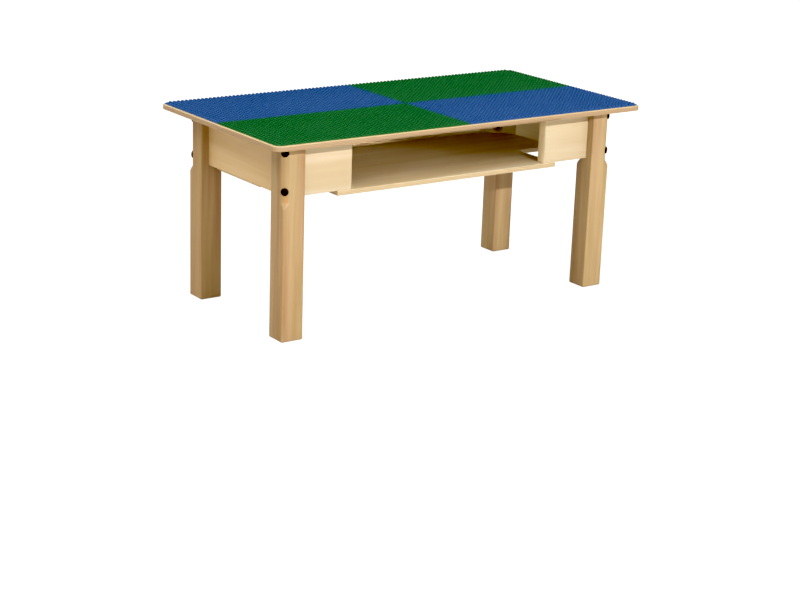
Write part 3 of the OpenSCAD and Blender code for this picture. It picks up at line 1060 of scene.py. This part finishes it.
def stamp_all(name, node, places, solid_bm, material, slot):
    """One piece with the turned solid at each of a CAD node's places."""
    bmesh.ops.recalc_face_normals(solid_bm, faces=solid_bm.faces)
    solid = keep_mesh(solid_bm, name)
    bm = bmesh.new()
    for place in places:
        stamp(bm, solid, place)
    bpy.data.meshes.remove(solid)
    add_piece(bm, name, material, slot, node)


print("places for bolts:", len(bolt_places))

# %% [markdown]
# A leg bolt has a domed head with a low rim and a hexagon socket. Only the last part of its
# shank is threaded.

# %% Shape the bolts
bolt_radius = 4 * mm
bolt_head_radius = 6.5 * mm
bolt_head_height = 4.4 * mm
bolt_head_rim = 2.4 * mm
bolt_head_ease = 0.2 * mm
socket_radius = 2.9 * mm
socket_depth = 2.6 * mm
socket_mouth = 3.3 * mm
bolt_thread = 26 * mm
bolt_pitch = 1.25 * mm
dome_height = bolt_head_height - bolt_head_rim
dome_radius = (bolt_head_radius ** 2 + dome_height ** 2) / (2 * dome_height)


def dome(low_radius, high_radius, steps):
    """Points over the head's dome, from a small radius out to a large one."""
    points = []
    for step in range(steps + 1):
        radius = low_radius + (high_radius - low_radius) * step / steps
        points.append((radius, math.sqrt(dome_radius ** 2 - radius ** 2) - dome_radius))
    return points


bolt_bm = turned([
    *dome(socket_mouth, bolt_head_radius - 0.3 * mm, 6),
    (bolt_head_radius, -dome_height - 0.1 * mm),
    (bolt_head_radius, bolt_head_ease - bolt_head_height),
    (bolt_head_radius - bolt_head_ease, -bolt_head_height),
    (bolt_radius, -bolt_head_height),
    *thread(bolt_radius, bolt_thread - bolt_length, -bolt_length, bolt_pitch),
    (0, -bolt_length),
])
sixths = [math.radians(60) * corner for corner in range(6)]
hexagon = [(socket_radius * math.cos(a), socket_radius * math.sin(a)) for a in sixths]
sink_drive(bolt_bm, hexagon, socket_depth)
stamp_all("socket_bolts", "leg_bolts", bolt_places, bolt_bm, black_oxide, "black_steel")

# %% [markdown]
# A flanged nut sits in the block's inner face, and the bolt's end stands a little out of it.
# Its profile is closed, because the nut is a ring, and its barrel is threaded to grip the wood.

# %% Shape the nuts
nut_flange_radius = 10 * mm
nut_flange = 1.5 * mm
nut_barrel_radius = 5.25 * mm
nut_pitch = 1.5 * mm
nut_bore = bolt_radius + 0.05 * mm
bore_chamfer = 0.6 * mm
nut_bm = turned([
    (nut_bore, -nut_length),
    (nut_bore, -bore_chamfer),
    (nut_bore + bore_chamfer, 0),
    (nut_flange_radius - 0.5 * mm, 0),
    (nut_flange_radius - 0.15 * mm, -0.15 * mm),
    (nut_flange_radius, -0.5 * mm),
    (nut_flange_radius, -nut_flange),
    (nut_barrel_radius, -nut_flange),
    *thread(nut_barrel_radius, -nut_flange - 0.5 * mm, -nut_length, nut_pitch),
], ring=True)
stamp_all("flanged_insert_nuts", "flanged_nuts", nut_places, nut_bm, nut_painted_reflection_steel, "black_steel")

# %% [markdown]
# The wood screws have a cross in the head. One quarter of its outline has three corners, and
# turning it three times by 90 degrees gives the rest.

# %% Draw the screws' cross
arm, reach = 0.5 * mm, 2.1 * mm
cross_mouth = 2.6 * mm
cross_depth = 1.5 * mm
cross_taper = 0.6
cross_quarter = [Vector((reach, -arm)), Vector((reach, arm)), Vector((arm, arm))]
cross = []
for quarter in range(4):
    turn = Matrix.Rotation(math.radians(90) * quarter, 2)
    cross += [turn @ corner for corner in cross_quarter]
print("corners of the cross:", len(cross))

# %% [markdown]
# The first part of a screw's shank is plain, and the rest is threaded. The screws of the
# blocks and the top have raised heads. The shelf's screws have flat heads that lie flush.

# %% Shape the screws
screw_radius = 2 * mm
screw_head_radius = 4 * mm
screw_head_height = 2.4 * mm
screw_pitch = 1.6 * mm
plain_share = 0.4
raised_head = [
    (cross_mouth, 0),
    (screw_head_radius * 0.9, -0.35 * mm),
    (screw_head_radius, -1.1 * mm),
    (screw_head_radius, -screw_head_height),
    (screw_radius, -screw_head_height),
]
sunk_head = [
    (cross_mouth, 0),
    (screw_head_radius - 0.1 * mm, 0),
    (screw_head_radius - 0.1 * mm, -0.1 * mm),
    (screw_radius, screw_radius - screw_head_radius),
]
screw_sets = [
    ("block_screw_set", "block_screws", block_screw_places, block_screw_length, raised_head),
    ("top_screw_set", "top_screws", top_screw_places, top_screw_length, raised_head),
    ("shelf_screw_set", "shelf_screws", shelf_screw_places, shelf_screw_length, sunk_head),
]
for name, node, places, length, head in screw_sets:
    screw_thread = thread(screw_radius, -plain_share * length, -length, screw_pitch)
    screw_bm = turned([*head, *screw_thread, (0, -length)])
    sink_drive(screw_bm, cross, cross_depth, cross_taper)
    stamp_all(name, node, places, screw_bm, zinc_plate, "zinc_steel")

# %% [markdown] The box of the finished table is measured, because it has to be the same size
# as the CAD model's box.

# %% Measure the finished table
low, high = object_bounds()
print("size of the finished table in mm:", [round(side / mm, 1) for side in high - low])
